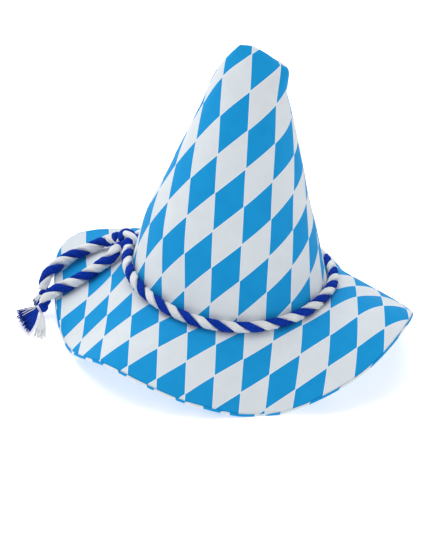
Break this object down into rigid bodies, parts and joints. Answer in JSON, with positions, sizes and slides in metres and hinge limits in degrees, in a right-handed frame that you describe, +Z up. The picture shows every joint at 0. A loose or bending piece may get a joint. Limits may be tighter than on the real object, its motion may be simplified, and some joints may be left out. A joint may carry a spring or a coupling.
{
  "type": "tall cone party hat with a wavy brim and a twisted cord",
  "caption": "Tall felt cone hat with a top ridge and a wide wavy brim, lozenge print, twisted cord band knotted at the back with tasselled ends.",
  "frame": {"origin": "on the floor under the middle of the brim's outline", "axes": "+Z up along the crown's axis, +X to the front, where the brim runs out level, -X to the knot at the back"},
  "size_m": [0.3786, 0.3604, 0.2853],
  "materials": {
    "crown_cloth": "soft brushed felt, printed with blue and white lozenges",
    "brim_cloth": "soft brushed felt, printed with blue and white lozenges",
    "edge_cloth": "turned edge of the printed felt",
    "cord_yarn": "fuzzy two-ply yarn, royal blue and white",
    "knot_yarn": "fuzzy white yarn with blue wraps",
    "tassel_yarn": "frayed yarn, royal blue and white"
  },
  "bodies": {
    "root": {"crown": "crown_cloth", "brim": "brim_cloth", "brim_edge": "edge_cloth", "cord_band": "cord_yarn", "cord_end_upper": "cord_yarn", "cord_end_lower": "cord_yarn", "cord_knot": "knot_yarn", "tassel_upper": "tassel_yarn", "tassel_lower": "tassel_yarn"}
  },
  "joints": []
}
